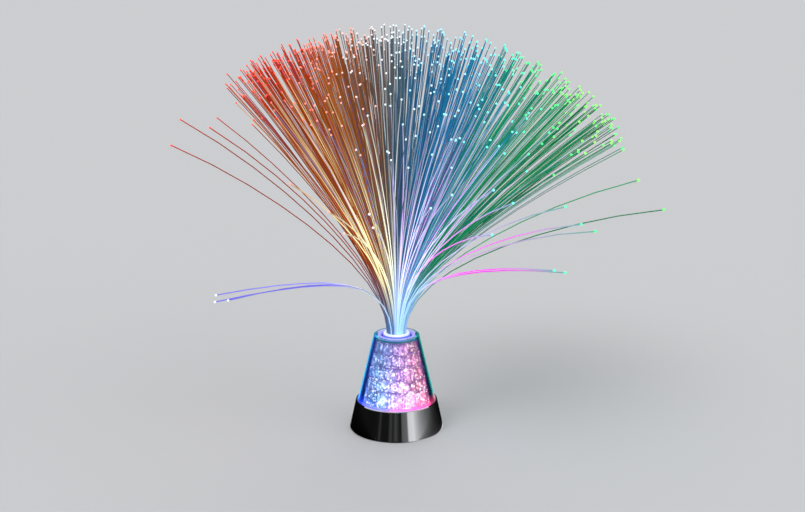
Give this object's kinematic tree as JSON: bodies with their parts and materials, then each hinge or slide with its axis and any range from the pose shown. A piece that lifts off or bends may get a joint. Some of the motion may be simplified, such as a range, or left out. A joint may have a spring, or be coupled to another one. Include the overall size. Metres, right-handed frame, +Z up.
{
  "type": "fiber optic table lamp",
  "caption": "Battery table lamp: a chromed cone base, a clear cone filled with lit clear crystals, and a wide spray of light-carrying strands rising from a collar.",
  "frame": {"origin": "on the lamp's upright axis, in the plane of the table that its foot pad rests on", "axes": "+Z up along the lamp's axis, -Y towards the front as pictured (the switch's side), +X to the viewer's right, +Y to the power socket"},
  "size_m": [0.4183, 0.4426, 0.3715],
  "materials": {
    "chrome_shell": "bright chrome plating on moulded ABS",
    "black_plate": "fine-grained black ABS",
    "foot_rubber": "matt non-slip foam rubber",
    "switch_plastic": "black nylon",
    "plated_metal": "nickel-plated steel",
    "circuit_board": "white-masked circuit board",
    "led_red": "lit red light source",
    "led_green": "lit green light source",
    "led_blue": "lit blue light source",
    "led_white": "lit multicolour light source",
    "clear_acrylic": "clear polished acrylic",
    "crystal_acrylic": "clear cast acrylic lumps, lit from below",
    "milky_plastic": "milky plastic, lit from inside",
    "strand_acrylic": "clear light-carrying plastic strand",
    "cell_wrap": "plastic-wrapped steel can",
    "lead_sleeve": "red and black insulated twin wire"
  },
  "bodies": {
    "housing": {"base_plate": "black_plate", "base_screws": "plated_metal", "base_shell": "chrome_shell", "battery_1": "cell_wrap", "battery_2": "cell_wrap", "battery_3": "cell_wrap", "battery_bay": "black_plate", "board_screws": "plated_metal", "cone_shell": "clear_acrylic", "control_chip": "switch_plastic", "crystal_floor": "clear_acrylic", "crystal_leds": "led_white", "crystals_tier_1": "crystal_acrylic", "crystals_tier_2": "crystal_acrylic", "crystals_tier_3": "crystal_acrylic", "crystals_tier_4": "crystal_acrylic", "crystals_tier_5": "crystal_acrylic", "foot_pad": "foot_rubber", "lead_battery": "lead_sleeve", "lead_switch": "lead_sleeve", "lead_usb": "lead_sleeve", "led_blue": "led_blue", "led_green": "led_green", "led_red": "led_red", "lid": "clear_acrylic", "light_board": "circuit_board", "switch_body": "switch_plastic", "terminal_bridge_left": "plated_metal", "terminal_bridge_right": "plated_metal", "terminal_negative": "plated_metal", "terminal_positive": "plated_metal", "usb_board": "circuit_board", "usb_shell": "plated_metal", "usb_tongue": "switch_plastic"},
    "battery_door": {"battery_door": "black_plate"},
    "switch_knob": {"switch_knob": "switch_plastic"},
    "collar": {"collar": "milky_plastic"},
    "spray": {"strands_ring_1": "strand_acrylic", "strands_ring_2": "strand_acrylic", "strands_ring_3": "strand_acrylic", "strands_ring_4": "strand_acrylic", "strands_ring_5": "strand_acrylic", "strands_ring_6": "strand_acrylic", "strands_ring_7": "strand_acrylic", "strands_stray": "strand_acrylic", "bundle": "strand_acrylic"}
  },
  "joints": [
    {"name": "battery_door_hinge", "type": "hinge", "parent": "housing", "child": "battery_door", "pos_m": [-0.02885, 0, 0.001], "axis": [0, 1, 0], "range_deg": [0, 70]},
    {"name": "switch_slide", "type": "slide", "parent": "housing", "child": "switch_knob", "axis": [1, 0, 0], "range_m": [0, 0.004]},
    {"name": "spray_lift", "type": "slide", "parent": "housing", "child": "collar", "axis": [0, 0, 1], "range_m": [0, 0.025]},
    {"name": "spray_turn", "type": "hinge", "parent": "collar", "child": "spray", "pos_m": [0, 0, 0.09], "axis": [0, 0, 1], "continuous": true}
  ]
}
